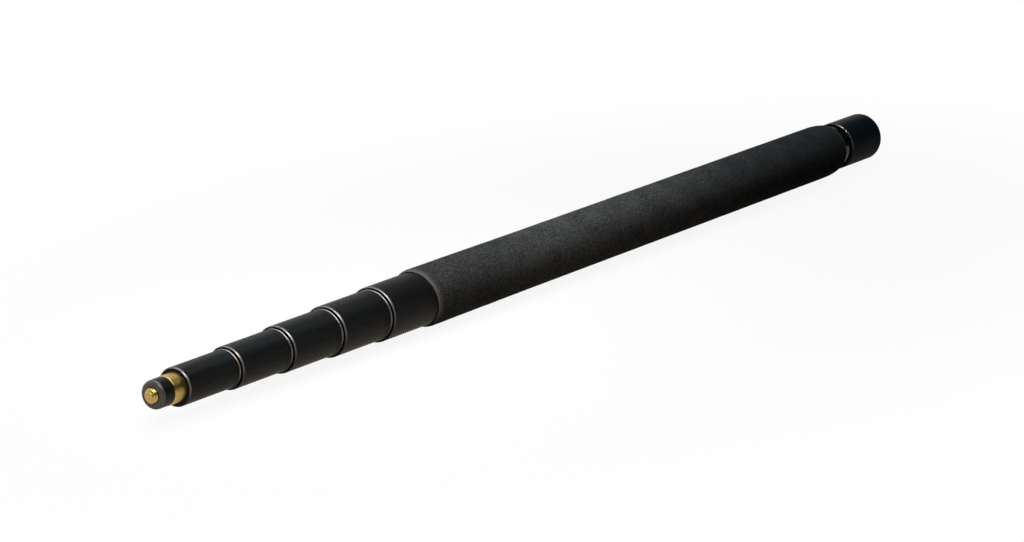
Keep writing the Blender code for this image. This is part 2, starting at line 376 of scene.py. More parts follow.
@dataclass(frozen=True)
class DrawnTube(Finish):
    """Gloss anodised tube with fine drawing streaks along it.

    Attributes:
        dye: The dye's colour between the streaks.
        shine: How strongly the skin reflects.
        streak: Width of the streaks.
        streak_count: How many follow each other in a metre of tube.
        streak_rough: What the streaks change the roughness by.
        light: The dye's strength in the streaks.
        relief: Depth of the streaks.
        patch: Size of the duller and glossier patches.
        patch_rough: What the patches change the roughness by.
        bare: How metallic the rubbed ends are.
    """

    dye: Colour
    shine: float
    streak: float = 0.0009
    streak_count: float = 3.0
    streak_rough: float = 0.12
    light: float = 1.9
    relief: float = 0.000005
    patch: float = 0.03
    patch_rough: float = 0.06
    bare: float = 0.4

    def paint(self, shader: Shader) -> None:
        """Add the dye and the lengthwise streaks.

        Args:
            shader: The shader that is painted.
        """
        across = 1 / self.streak
        point = shader.stretched((self.streak_count, across, across))
        streaks = shader.noise(point, scale=1.0, detail=3.0)
        patch = shader.grain(self.patch)
        roughness = self.roughness + streaks.swing(self.streak_rough)
        shader.feed(
            Base_Color=shader.mix(streaks, self.dye, scaled(self.dye, self.light)),
            Roughness=roughness + patch.swing(self.patch_rough),
            Metallic=self.bare * shader.rub(),
            Specular_IOR_Level=self.shine,
            Normal=shader.bump(streaks, self.relief),
        )


@dataclass(frozen=True)
class Foam(Finish):
    """Closed-cell foam rubber with a fine mottled skin and paler cut ends.

    Attributes:
        dark: The skin's darkest colour.
        pale: The skin's palest colour.
        cut: The cut ends' colour.
        cell: Size of the foam's cells.
        fleck: Size of the flecks.
        cloud: Size of the broad clouds.
        speck: Size of the specks on the darker front.
        cell_limits: Between which the cells go from dark to pale.
        fleck_limits: The same for the flecks.
        cloud_limits: The same for the clouds.
        speck_limits: The same for the specks.
        shares: What the flecks, the cells and the clouds each add to the tone.
        darker_front_reach: Places along the pole between which the darker front begins.
        front_darkening: How much darker the foam is towards its front end.
        front_speck: How plainly the specks show there.
        tail: The colour of a painted shade on the tail end, for the weaker light there.
        rear_shade_reach: Places along the pole between which that painted shade begins.
        rear_shade_share: How much of its colour shows.
        rear_shade_calm: How much fainter the flecks are under it.
        fleck_rough: How much smoother the flecks are.
        shine: How strongly the skin reflects.
        sheen: How strong its soft sheen is.
        sheen_roughness: How wide that sheen spreads.
        relief: Depth of the cells and the flecks.
        cell_share: The cells' share of that relief.
    """

    dark: Colour
    pale: Colour
    cut: Colour
    cell: float
    fleck: float
    cloud: float = 0.016
    speck: float = 0.0011
    cell_limits: Pair = (0.12, 0.62)
    fleck_limits: Pair = (0.38, 0.62)
    cloud_limits: Pair = (0.28, 0.72)
    speck_limits: Pair = (0.40, 0.60)
    shares: Triple = (0.46, 0.26, 0.28)
    darker_front_reach: Pair = (0.42, 0.53)
    front_darkening: float = 0.52
    front_speck: float = 0.34
    tail: Colour = (0.004, 0.010, 0.016)
    rear_shade_reach: Pair = (0.32, 0.06)
    rear_shade_share: float = 0.46
    rear_shade_calm: float = 0.20
    fleck_rough: float = 0.14
    shine: float = 0.04
    sheen: float = 0.02
    sheen_roughness: float = 0.5
    relief: float = 0.00022
    cell_share: float = 0.6

    def paint(self, shader: Shader) -> None:
        """Add the flecks, the cells, the darker specked front, the painted tail shade and the cut
        ends.

        Args:
            shader: The shader that is painted.
        """
        fleck = shader.grain(self.fleck, detail=4.0).eased(*self.fleck_limits)
        cloud = shader.grain(self.cloud, detail=3.0).eased(*self.cloud_limits)
        speck = shader.grain(self.speck).eased(*self.speck_limits)
        cells = shader.cells(self.cell).eased(*self.cell_limits)
        front = shader.along().eased(*self.darker_front_reach)
        # Painted shade: the skin turns darker and cooler towards the tail end, and its flecks fade
        # there.
        tail = shader.along().eased(*self.rear_shade_reach)
        by_fleck, by_cell, by_cloud = self.shares
        tone = by_fleck * fleck + by_cell * cells + by_cloud * cloud
        # The foam is made darker towards its front end.
        tone = tone * (1.0 - self.front_darkening * front)
        tone = tone + front * speck.swing(self.front_speck) - tail * fleck.swing(self.rear_shade_calm)
        skin = shader.mix(self.rear_shade_share * tail, shader.mix(tone, self.dark, self.pale), self.tail)
        relief = self.cell_share * cells + (1 - self.cell_share) * fleck
        shader.feed(
            Base_Color=shader.mix(shader.rub(), skin, self.cut),
            Roughness=self.roughness - self.fleck_rough * fleck,
            Specular_IOR_Level=self.shine,
            Sheen_Weight=self.sheen,
            Sheen_Roughness=self.sheen_roughness,
            Normal=shader.bump(relief, self.relief),
        )


@dataclass(frozen=True)
class Brass(Finish):
    """Turned brass with fine tool marks and a little tarnish.

    Attributes:
        bright: The clean brass's colour.
        tarnish: The tarnished brass's colour.
        marks: Pitch of the tool marks.
        marks_rough: What the marks change the roughness by.
        marks_stain: How far the marks are tarnished.
        relief: Depth of the marks.
        patch: Size of the tarnished patches.
        patch_limits: Between which a patch goes from clean to tarnished.
        patch_rough: What the patches change the roughness by.
        patch_stain: How far the patches are tarnished.
        cleaned: How much of the tarnish is gone where it is rubbed.
        polish: How much smoother it is there.
    """

    bright: Colour
    tarnish: Colour
    marks: float = 0.00035
    marks_rough: float = 0.10
    marks_stain: float = 0.35
    relief: float = 0.000007
    patch: float = 1 / 160
    patch_limits: Pair = (0.48, 0.78)
    patch_rough: float = 0.14
    patch_stain: float = 0.55
    cleaned: float = 0.8
    polish: float = 0.09

    def paint(self, shader: Shader) -> None:
        """Add the tool marks and the tarnish.

        Args:
            shader: The shader that is painted.
        """
        patch = shader.grain(self.patch, detail=4.0)
        marks = shader.rings(self.marks)
        rub = shader.rub()
        stain = self.patch_stain * patch.eased(*self.patch_limits) + self.marks_stain * marks
        roughness = self.roughness + patch.swing(self.patch_rough) + marks.swing(self.marks_rough)
        shader.feed(
            Base_Color=shader.mix(stain * (1.0 - self.cleaned * rub), self.bright, self.tarnish),
            Roughness=roughness - self.polish * rub,
            Metallic=1.0,
            Normal=shader.bump(marks, self.relief),
        )


@dataclass(frozen=True)
class Machined(Finish):
    """Bare machined alloy inside the locks and the butt.

    Attributes:
        metal: The alloy's colour.
        marks: Pitch of the tool marks.
        marks_rough: What the marks change the roughness by.
        relief: Depth of the marks.
        patch: Size of the dull patches.
        patch_rough: What the patches change the roughness by.
        dull: The colour's strength in a dull patch.
    """

    metal: Colour
    marks: float = 0.0004
    marks_rough: float = 0.16
    relief: float = 0.000008
    patch: float = 1 / 220
    patch_rough: float = 0.08
    dull: float = 0.72

    def paint(self, shader: Shader) -> None:
        """Add the tool marks and the dull patches.

        Args:
            shader: The shader that is painted.
        """
        marks = shader.rings(self.marks)
        patch = shader.grain(self.patch, detail=3.0)
        roughness = self.roughness + marks.swing(self.marks_rough)
        shader.feed(
            Base_Color=shader.mix(patch, scaled(self.metal, self.dull), self.metal),
            Roughness=roughness + patch.swing(self.patch_rough),
            Metallic=1.0,
            Normal=shader.bump(marks, self.relief),
        )


@dataclass(frozen=True)
class Moulded(Finish):
    """Moulded plastic or rubber with a fine satin skin.

    Attributes:
        body: Its lighter colour.
        deep: Its darker colour.
        shine: How strongly the skin reflects.
        grain: Size of the satin grain.
        grain_rough: What the grain changes the roughness by.
        relief: Depth of the grain.
        cloud: Size of the clouds between the two colours.
    """

    body: Colour
    deep: Colour
    shine: float
    grain: float = 0.0006
    grain_rough: float = 0.12
    relief: float = 0.000012
    cloud: float = 1 / 140

    def paint(self, shader: Shader) -> None:
        """Add the cloudiness and the satin grain.

        Args:
            shader: The shader that is painted.
        """
        grain = shader.grain(self.grain)
        cloud = shader.grain(self.cloud, detail=3.0)
        shader.feed(
            Base_Color=shader.mix(cloud, self.deep, self.body),
            Roughness=self.roughness + grain.swing(self.grain_rough),
            Specular_IOR_Level=self.shine,
            Normal=shader.bump(grain, self.relief),
        )


FINISHES: dict[Look, Finish] = {
    Look.COLLAR: Anodised(
        Slot.BLACK,
        dye=(0.0012, 0.0026, 0.0036),
        rubbed=(0.480, 0.462, 0.455),
        roughness=0.37,
        shine=0.09,
        polish=0.14,
    ),
    Look.CAP: Anodised(
        Slot.BLACK,
        dye=(0.0120, 0.0185, 0.0255),
        rubbed=(0.450, 0.440, 0.435),
        roughness=0.48,
        shine=0.055,
        polish=0.50,
    ),
    Look.NUT: Anodised(
        Slot.BLACK,
        dye=(0.0060, 0.0056, 0.0056),
        rubbed=(0.260, 0.232, 0.222),
        roughness=0.44,
        shine=0.14,
    ),
    Look.TUBE: DrawnTube(Slot.GLOSS, dye=(0.0040, 0.0040, 0.0044), roughness=0.18, shine=0.8),
    Look.FOAM: Foam(
        Slot.FOAM,
        dark=(0.0200, 0.0204, 0.0208),
        pale=(0.1120, 0.1120, 0.1130),
        cut=(0.185, 0.166, 0.166),
        roughness=0.96,
        cell=0.0009,
        fleck=0.0017,
    ),
    Look.BRASS: Brass(
        Slot.BRASS, bright=(0.54, 0.395, 0.125), tarnish=(0.32, 0.22, 0.050), roughness=0.42
    ),
    Look.ACETAL: Moulded(
        Slot.ACETAL, body=(0.76, 0.74, 0.69), deep=(0.66, 0.64, 0.58), roughness=0.48, shine=0.4
    ),
    Look.ALLOY: Machined(Slot.ALLOY, metal=(0.62, 0.62, 0.63), roughness=0.34),
    Look.RUBBER: Moulded(
        Slot.RUBBER,
        body=(0.0050, 0.0050, 0.0052),
        deep=(0.0030, 0.0030, 0.0030),
        roughness=0.70,
        shine=0.08,
    ),
}


class Paintbox:
    """Makes each finish's material once and hands it out by name."""

    def __init__(self, finishes: Mapping[Look, Finish]) -> None:
        """Paint every finish.

        Args:
            finishes: The finishes by name.
        """
        self.finishes = finishes
        self.materials: dict[Look, bpy.types.Material] = {}
        for look, finish in finishes.items():
            shader = Shader(look.value)
            finish.paint(shader)
            self.materials[look] = shader.material

    def dress_node(self, node: str, look: Look) -> None:
        """Give a carried-over CAD node its finish.

        Args:
            node: The CAD node.
            look: Its finish.
        """
        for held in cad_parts[node].material_slots:
            held.material = self.materials[look]
        log.info("%s keeps its CAD shape, in %s", node, look.value)


def stand(name: str, data: bpy.types.ID) -> bpy.types.Object:
    """Put a mesh, a lamp or a camera in the scene.

    Args:
        name: The new object's name.
        data: The mesh, lamp or camera that it holds.

    Returns:
        The new object.
    """
    made = bpy.data.objects.new(name, data)
    bpy.context.scene.collection.objects.link(made)
    return made


@dataclass(frozen=True)
class Span:
    """Where a CAD node lies along the pole, and its largest radius."""

    rear: float
    front: float
    radius: float

    @classmethod
    def of(cls, node: str) -> "Span":
        """Measure a CAD node, whose flat facets hold its box inside its round size."""
        low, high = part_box(node)
        return cls(low.x, high.x, high.z / math.cos(math.pi / CAD_FACETS))


@dataclass(frozen=True)
class Row:
    """One ring of points on a turned surface.

    Attributes:
        x: Its place along the pole.
        radius: Its radius.
        relief: What each point's radius gains, by its number round the ring.
        rub: How far it is rubbed, from 0 to 1, or the same by number.
        lean: How far forward it leans: all round, at its +Y side and at its top.
    """

    x: float
    radius: float
    relief: ByNumber | None = None
    rub: Union[float, ByNumber] = 0.0
    lean: Triple = (0.0, 0.0, 0.0)

    def point(self, n: int, segments: int) -> Triple:
        """One point of the ring.

        Args:
            n: The point's number.
            segments: Points round the ring.

        Returns:
            Where the point is.
        """
        radius = self.radius + (self.relief(n) if self.relief else 0.0)
        angle = math.tau * n / segments
        side, up = math.cos(angle), math.sin(angle)
        forward = self.lean[0] + self.lean[1] * side + self.lean[2] * up
        return (self.x + forward, radius * side, radius * up)

    def rubbed(self, n: int) -> float:
        """How far one point of the ring is rubbed."""
        return self.rub(n) if callable(self.rub) else self.rub


def rounded(corners: Sequence[Triple], steps: int = 4) -> list[Row]:
    """Round the corners of a closed outline.

    Args:
        corners: The outline's corners, as x, radius and the radius of the round there.
        steps: Chords along each round.

    Returns:
        A ring for each point of the outline, with the rounds marked as rubbed.
    """
    rows: list[Row] = []
    for n, (x, radius, bend) in enumerate(corners):
        here = Vector((x, radius))
        if bend == 0.0:
            rows.append(Row(x, radius))
            continue
        back = (Vector(corners[n - 1][:2]) - here).normalized()
        onward = (Vector(corners[(n + 1) % len(corners)][:2]) - here).normalized()
        half = back.angle(onward) / 2
        centre = here + (back + onward).normalized() * bend / math.sin(half)
        start = here + back * bend / math.tan(half) - centre
        end = here + onward * bend / math.tan(half) - centre
        sweep = start.angle_signed(end)
        for step in range(steps + 1):
            angle = -sweep * step / steps
            turned = Vector((
                start.x * math.cos(angle) - start.y * math.sin(angle),
                start.x * math.sin(angle) + start.y * math.cos(angle),
            ))
            rows.append(Row(*(centre + turned), rub=1.0))
    return guarded(rows)


def guarded(rows: Sequence[Row], margin: float = 0.00015, longest: float = 0.0013) -> list[Row]:
    """Keep a rubbed round from fading out along a long straight side.

    Args:
        rows: The rings of a closed outline.
        margin: How far past a round the rubbing reaches.
        longest: The longest side that stays rubbed right across.

    Returns:
        The rings, with unrubbed ones added near the ends of each long side.
    """
    kept: list[Row] = []
    for n, row in enumerate(rows):
        kept.append(row)
        after = rows[(n + 1) % len(rows)]
        side = Vector((after.x - row.x, after.radius - row.radius))
        if side.length <= longest:
            continue
        step = side.normalized() * margin
        if row.rub:
            kept.append(Row(row.x + step.x, row.radius + step.y))
        if after.rub:
            kept.append(Row(after.x - step.x, after.radius - step.y))
    return kept


def plain_ring(span: Span, bore: float, rounds: Sequence[float]) -> list[Triple]:
    """The outline of a plain ring or tube.

    Args:
        span: Its ends and outer radius.
        bore: Its bore.
        rounds: The rounds at its front bore, rear bore, rear edge and front edge.

    Returns:
        Its corners, as x, radius and the radius of the round there.
    """
    ends = (span.front, span.rear, span.rear, span.front)
    return list(zip(ends, (bore, bore, span.radius, span.radius), rounds))


def wear_with_painted_highlight(peak: float, focus: float, side: float, segments: int) -> ByNumber:
    """How far each point of a round edge is rubbed, gathered on one side as a painted highlight.

    Args:
        peak: How far it is rubbed there.
        focus: How closely the rubbing keeps to that side.
        side: The side of the painted highlight, as an angle up from +Y.
        segments: Points round the edge.

    Returns:
        The rubbing by the point's number.
    """

    def rub(n: int) -> float:
        """How far one point is rubbed."""
        return peak * (0.5 + 0.5 * math.cos(math.tau * n / segments - side)) ** focus

    return rub


def quarter_turn(n: int, steps: int) -> float:
    """The angle after n of the steps that make up a quarter turn."""
    return math.radians(90.0 * n / steps)


@dataclass
class Turned:
    """A closed surface turned about the pole's axis from a loop of rings.

    Attributes:
        name: The piece's name.
        rows: The rings, in order round the section, ending where they start.
        segments: Points round each ring.
        outside: Share of the widest radius beyond which a side is an outer one.
        inner_room: Room on the bake's map for an inner side, beside that for an outer one.
    """

    name: str
    rows: Sequence[Row]
    segments: int = 96
    outside: float = 0.93
    inner_room: float = 0.12

    def faces(self) -> list[tuple[int, ...]]:
        """Join neighbouring rings, the last of them with the first.

        Returns:
            Faces as point numbers, facing out.
        """
        count = len(self.rows)
        made: list[tuple[int, ...]] = []
        for row in range(count):
            for n in range(self.segments):
                made += self.cell(row, (row + 1) % count, n)
        return made

    def cell(self, row: int, after: int, n: int) -> list[tuple[int, ...]]:
        """The face between two rings at one place, which a relief splits along its lower points.

        Args:
            row: The first ring's number.
            after: The next ring's number.
            n: The place round the ring.

        Returns:
            Faces as point numbers, facing out.
        """
        m = (n + 1) % self.segments
        a, b = row * self.segments + n, row * self.segments + m
        c, d = after * self.segments + m, after * self.segments + n
        here, there = self.rows[row].relief, self.rows[after].relief
        if here is None or there is None:
            return [(a, b, c, d)]
        if here(n) + there(m) < here(m) + there(n):
            return [(a, b, c), (a, c, d)]
        return [(b, c, d), (b, d, a)]

    def build(self) -> bpy.types.Object:
        """Make the mesh, with its map and its rubbed marks.

        Returns:
            The new object, linked into the scene.
        """
        mesh = bpy.data.meshes.new(self.name)
        places = [(row, n) for row in self.rows for n in range(self.segments)]
        mesh.from_pydata([row.point(n, self.segments) for row, n in places], [], self.faces())
        rub = mesh.attributes.new(RUB, "FLOAT", "POINT")
        rub.data.foreach_set("value", [row.rubbed(n) for row, n in places])
        self.unwrap(mesh)
        mesh.shade_smooth()
        mesh.set_sharp_from_angle(angle=SHARP)
        return stand(self.name, mesh)

    def unwrap(self, mesh: bpy.types.Mesh) -> None:
        """Lay the rings out flat on the bake's map, with less room for the inner side.

        Args:
            mesh: The piece's mesh.
        """
        widest = max(row.radius for row in self.rows)
        marks = [0.0]
        for n, row in enumerate(self.rows):
            after = self.rows[(n + 1) % len(self.rows)]
            length = math.hypot(after.x - row.x, after.radius - row.radius)
            outer = (row.radius + after.radius) / 2 > self.outside * widest
            marks.append(marks[-1] + length * (1.0 if outer else self.inner_room))
        shares = [mark / marks[-1] for mark in marks]
        layer = mesh.uv_layers.new(name=BAKE_MAP)
        for face in mesh.polygons:
            numbers = list(face.vertices)
            rows = sorted({number // self.segments for number in numbers})
            wraps = rows[-1] - rows[0] > 1
            places = [number % self.segments for number in numbers]
            turns = max(places) - min(places) > 1
            for corner, number, place in zip(face.loop_indices, numbers, places):
                row = number // self.segments
                along = 1.0 if wraps and row == 0 else shares[row]
                round_share = 1.0 if turns and place == 0 else place / self.segments
                layer.data[corner].uv = (along, round_share)


@dataclass(frozen=True)
class Knurl:
    """Diamond knurling rolled into a collar, and the edges on either side of it.

    Attributes:
        pitch: From one diamond to the next.
        depth: From a diamond's crest to the groove.
        land: Plain width left in front of the band.
        bead: Width of the smooth bead behind the band.
        bead_round: Round on the front of the bead.
        shoulder: Slope on the front of the bead.
        groove: Depth of the groove between the bead and the band.
        rear_chamfer: Chamfer on the rear end.
        rear_rounds: Rounds on that chamfer, from the inside out.
        front_rounds: Rounds on the front end's chamfer, from the outside in.
        rubbed: How far the crests are rubbed, from 0 to 1.
        bead_rubbed: The same for the bead.
        edge_rubbed: The same for the front edges.
        painted_highlight_side: The side where the bead and the edges are rubbed most, as an angle
            up
        from +Y; the rubbing there is a painted highlight over real wear.
        bead_focus: How closely the bead's rubbing keeps to that side.
        edge_focus: The same for the front edges.
    """

    pitch: float = 0.0021
    depth: float = 0.00024
    land: float = 0.0009
    bead: float = 0.0008
    bead_round: float = 0.00050
    shoulder: float = 0.0004
    groove: float = 0.00045
    rear_chamfer: float = 0.0002
    rear_rounds: Pair = (0.00008, 0.00010)
    front_rounds: Pair = (0.00018, 0.00012)
    rubbed: float = 0.055
    bead_rubbed: float = 0.9
    edge_rubbed: float = 0.8
    painted_highlight_side: float = math.radians(55.0)
    bead_focus: float = 1.5
    edge_focus: float = 4.0

    def segments(self, radius: float) -> int:
        """Points round a collar: a crest and a groove for each diamond."""
        return 2 * round(math.tau * radius / self.pitch)

    def rows(self, start: float, end: float, radius: float) -> list[Row]:
        """Rings of crests and grooves by turns.

        Args:
            start: Where the knurling begins along the pole.
            end: Where it ends.
            radius: The crests' radius.

        Returns:
            The rings in order.
        """
        count = 2 * round(abs(end - start) / self.pitch) + 1
        step = (end - start) / (count - 1)
        return [self.ring(start + n * step, radius, n) for n in range(count)]

    def ring(self, x: float, radius: float, parity: int) -> Row:
        """One ring, whose crests sit between those of its neighbours.

        Args:
            x: Its place along the pole.
            radius: The crests' radius.
            parity: The ring's number.

        Returns:
            The ring.
        """

        def relief(n: int) -> float:
            """How far a point lies under the crests."""
            return -self.depth if (n + parity) % 2 else 0.0

        def rub(n: int) -> float:
            """How far a point is rubbed: only the crests are."""
            return 0.0 if (n + parity) % 2 else self.rubbed

        return Row(x, radius, relief, rub)


class Assembly:
    """What every sub-assembly shares: placing a finished piece on the frame."""

    def fit(self, piece: bpy.types.Object, node: str, body: str, look: Look, box: Paintbox) -> None:
        """Put a piece in a CAD node's place, on its body and in its finish.

        Args:
            piece: The finished piece.
            node: The CAD node that it stands for.
            body: The CAD body that it rides on.
            look: Its finish.
            box: Where the finish comes from.
        """
        piece.data.materials.append(box.materials[look])
        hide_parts(node)
        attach(piece, body)
        log.info("%s stands for %s on %s", piece.name, node, body)


def knurled_shell(
    name: str, span: Span, knurl: Knurl, edge: float, inside: Sequence[Triple]
) -> bpy.types.Object:
    """A collar with a smooth bead at its rear, a knurled band and a chamfered front.

    Args:
        name: The piece's name.
        span: Its ends and crest radius.
        knurl: The knurling and the edges beside it.
        edge: Size of the front end's chamfer.
        inside: The rest of its outline, from the front bore back to the rear bore.

    Returns:
        The new piece.
    """
    crest = span.radius
    groove = crest - knurl.groove
    land = crest - knurl.depth / 2
    bead = span.rear + knurl.bead
    low = bead + knurl.shoulder
    high = span.front - edge - knurl.land
    outline = [
        *inside,
        (span.rear, crest - knurl.rear_chamfer, knurl.rear_rounds[0]),
        (span.rear + knurl.rear_chamfer, crest, knurl.rear_rounds[1]),
        (bead, crest, knurl.bead_round),
        (low, groove, 0.0),
        (high, land, 0.0),
        (span.front - edge, land, knurl.front_rounds[0]),
        (span.front, land - edge, knurl.front_rounds[1]),
    ]
    segments = knurl.segments(crest)
    # Painted highlight: the bead and the front edge are rubbed paler and metallic mostly on one
    # side, over real edge wear.
    bead_wear_and_highlight = wear_with_painted_highlight(knurl.bead_rubbed, knurl.bead_focus, knurl.painted_highlight_side, segments)
    edge_wear_and_highlight = wear_with_painted_highlight(knurl.edge_rubbed, knurl.edge_focus, knurl.painted_highlight_side, segments)
    rows = [
        replace(row, rub=bead_wear_and_highlight if row.x < low else edge_wear_and_highlight) if row.rub else row
        for row in rounded(outline)
    ]
    start = next(n for n, row in enumerate(rows) if (row.x, row.radius) == (low, groove)) + 1
    end = next(n for n, row in enumerate(rows) if (row.x, row.radius) == (high, land))
    rows[start:end] = knurl.rows(low + knurl.depth, high - knurl.depth, crest)
    return Turned(name, rows, segments).build()


@dataclass
class TwistLock(Assembly):
    """A section's twist collar, with the ferrule and slit collet inside it.

    Attributes:
        section: The section that carries it, counted from 1 at the handle.
        edge: Chamfer on the collar's front end.
        wall: Collar wall over the ferrule's thread.
        nose: Length of the collar's nose in front of its cone.
        nose_gap: Clearance round the next tube.
        nose_round: Round at the nose's mouth.
        cone_gap: From the next tube to the front of the cone.
        cone_end: From the collar's front face to the back of the cone.
        knurl: The collar's knurling.
    """

    section: int
    edge: float = 0.0005
    wall: float = 0.0009
    nose: float = 0.0030
    nose_gap: float = 0.0005
    nose_round: float = 0.0002
    cone_gap: float = 0.0016
    cone_end: float = 0.0186
    knurl: Knurl = field(default_factory=Knurl)

    def build(self, box: Paintbox) -> None:
        """Make the collar and dress the ferrule and the collet.

        Args:
            box: Where the finishes come from.
        """
        number = self.section
        node = f"lock_collar_{number}"
        span = Span.of(node)
        tube = Span.of(f"tube_{number + 1}").radius
        bore = span.radius - self.wall
        cone = span.front - self.nose
        inside = [
            (span.front, tube + self.nose_gap, self.nose_round),
            (cone, tube + self.nose_gap, 0.0),
            (cone, tube + self.cone_gap, 0.0),
            (span.front - self.cone_end, bore, 0.0),
            (span.rear, bore, 0.0),
        ]
        collar = knurled_shell(f"collar_{number}_knurled", span, self.knurl, self.edge, inside)
        self.fit(collar, node, f"twist_collar_{number}", Look.COLLAR, box)
        box.dress_node(f"ferrule_{number}", Look.ALLOY)
        box.dress_node(f"collet_{number}", Look.ACETAL)


@dataclass
class SlidingTube(Assembly):
    """One drawn tube, with the guide bush in its rear end.

    Attributes:
        section: The section's number, from 1 at the handle.
        wall: The tube's wall.
        burr: Round left where the ends are deburred.
    """

    section: int
    wall: float = 0.0009
    burr: float = 0.0002

    def build(self, box: Paintbox) -> None:
        """Make the tube and dress its bush.

        Args:
            box: Where the finishes come from.
        """
        node = f"tube_{self.section}"
        span = Span.of(node)
        outline = plain_ring(span, span.radius - self.wall, 4 * [self.burr])
        body = "handle" if self.section == 1 else f"section_{self.section}"
        piece = Turned(f"tube_{self.section}_drawn", rounded(outline)).build()
        self.fit(piece, node, body, Look.TUBE, box)
        if self.section > 1:
            box.dress_node(f"guide_bush_{self.section}", Look.ACETAL)


@dataclass
class FoamGrip(Assembly):
    """The foam sleeve on the handle.

    Attributes:
        wall: Foam over the handle tube.
        flare: How much fuller the front end is.
        flare_length: How far back the flare runs.
        front_round: How far back the front edge is rounded.
        front_face: Width of the flat face left inside that round.
        front_steps: Chords along that round.
        lip_gap: Clearance of the front's lip round the first collar.
        lip_depth: How far back the lip's bore runs.
        lean: How far forward the cut front leans: all round, at its +Y side and at its top.
        lean_length: How far back the lean fades out.
        tail_length: How far the tail end tapers.
        tail_drop: How much the tail comes down.
        tail_round: Round at the tail end.
        tail_steps: Chords along that round.
        tail_cut: How far the tail's round shows as a cut end.
        bore_cut: The same for the bore at the tail.
        step: Distance between rings along the sleeve.
        swell: How far the foam's surface wanders in and out.
        lump_shares: Each size of lump's share of that.
        lump_counts: How many lumps of each size there are in a metre.
        segments: Points round each ring.
    """

    wall: float = 0.0034
    flare: float = 0.00036
    flare_length: float = 0.115
    front_round: float = 0.0046
    front_face: float = 0.0003
    front_steps: int = 6
    lip_gap: float = 0.00025
    lip_depth: float = 0.0030
    lean: Triple = (0.0020, 0.0008, 0.0034)
    lean_length: float = 0.050
    tail_length: float = 0.0145
    tail_drop: float = 0.0014
    tail_round: float = 0.0010
    tail_steps: int = 4
    tail_cut: float = 0.3
    bore_cut: float = 0.6
    step: float = 0.0032
    swell: float = 0.00010
    lump_shares: Pair = (0.6, 0.4)
    lump_counts: Pair = (90.0, 260.0)
    segments: int = 128

    def radius_at(self, back: float, length: float, plain: float) -> float:
        """The sleeve's radius at a distance behind its front end.

        Args:
            back: Distance behind the front end.
            length: The sleeve's length.
            plain: Its radius between the two ends.

        Returns:
            The radius there.
        """
        flare = self.flare * max(0.0, 1.0 - back / self.flare_length)
        tail = length - self.tail_round - self.tail_length
        share = min(1.0, max(0.0, (back - tail) / self.tail_length))
        return plain + flare - self.tail_drop * share ** 2

    def lumps(self, x: float, radius: float) -> ByNumber:
        """The foam's gentle unevenness round one ring.

        Args:
            x: The ring's place along the pole.
            radius: Its radius.

        Returns:
            How far each point wanders, by its number.
        """

        def relief(n: int) -> float:
            """How far one point wanders."""
            angle = math.tau * n / self.segments
            point = Vector((x, radius * math.cos(angle), radius * math.sin(angle)))
            lumps = zip(self.lump_shares, self.lump_counts)
            return self.swell * sum(share * noise.noise(count * point) for share, count in lumps)

        return relief

    def leaning(self, back: float) -> Triple:
        """How far a ring leans at a distance behind the front end."""
        share = max(0.0, 1.0 - back / self.lean_length) ** 2
        return tuple(share * part for part in self.lean)

    def inside(self, span: Span, lip: float, bore: float) -> list[Row]:
        """Rings along the inside, from the front's lip back to the tail.

        Args:
            span: The sleeve's ends and largest radius.
            lip: The bore of the front's lip.
            bore: The bore behind the lip.

        Returns:
            The rings in order.
        """
        step = span.front - self.lip_depth
        return [
            Row(span.front, lip, rub=1.0, lean=self.lean),
            Row(step, lip, rub=1.0),
            Row(step, bore, rub=1.0),
            Row(span.rear, bore, rub=self.bore_cut),
        ]

    def rows(self, span: Span, lip: float) -> list[Row]:
        """Rings back along the inside, then along the outside from the tail to the front.

        Args:
            span: The sleeve's ends and largest radius.
            lip: The bore of the front's lip.

        Returns:
            The rings in order.
        """
        length = span.front - span.rear
        plain = span.radius - self.flare
        rows = self.inside(span, lip, plain - self.wall)
        tail = plain - self.tail_drop
        for n in range(self.tail_steps, -1, -1):
            turn = quarter_turn(n, self.tail_steps)
            x = span.rear + self.tail_round * (1.0 - math.sin(turn))
            radius = tail - self.tail_round * (1.0 - math.cos(turn))
            rows.append(Row(x, radius, rub=self.tail_cut))
        side = length - self.front_round - self.tail_round
        count = round(side / self.step)
        for n in range(1, count):
            x = span.rear + self.tail_round + n * side / count
            back = span.front - x
            radius = self.radius_at(back, length, plain)
            rows.append(Row(x, radius, self.lumps(x, radius), lean=self.leaning(back)))
        drop = span.radius - lip - self.front_face
        for n in range(self.front_steps + 1):
            turn = quarter_turn(n, self.front_steps)
            x = span.front - self.front_round * (1.0 - math.sin(turn))
            radius = span.radius - drop * (1.0 - math.cos(turn))
            rows.append(Row(x, radius, rub=n / self.front_steps, lean=self.lean))
        return rows

    def build(self, box: Paintbox) -> None:
        """Make the sleeve.

        Args:
            box: Where the finish comes from.
        """
        lip = Span.of("lock_collar_1").radius + self.lip_gap
        piece = Turned("grip_foam", self.rows(Span.of("foam_grip"), lip), self.segments).build()
        self.fit(piece, "foam_grip", "handle", Look.FOAM, box)


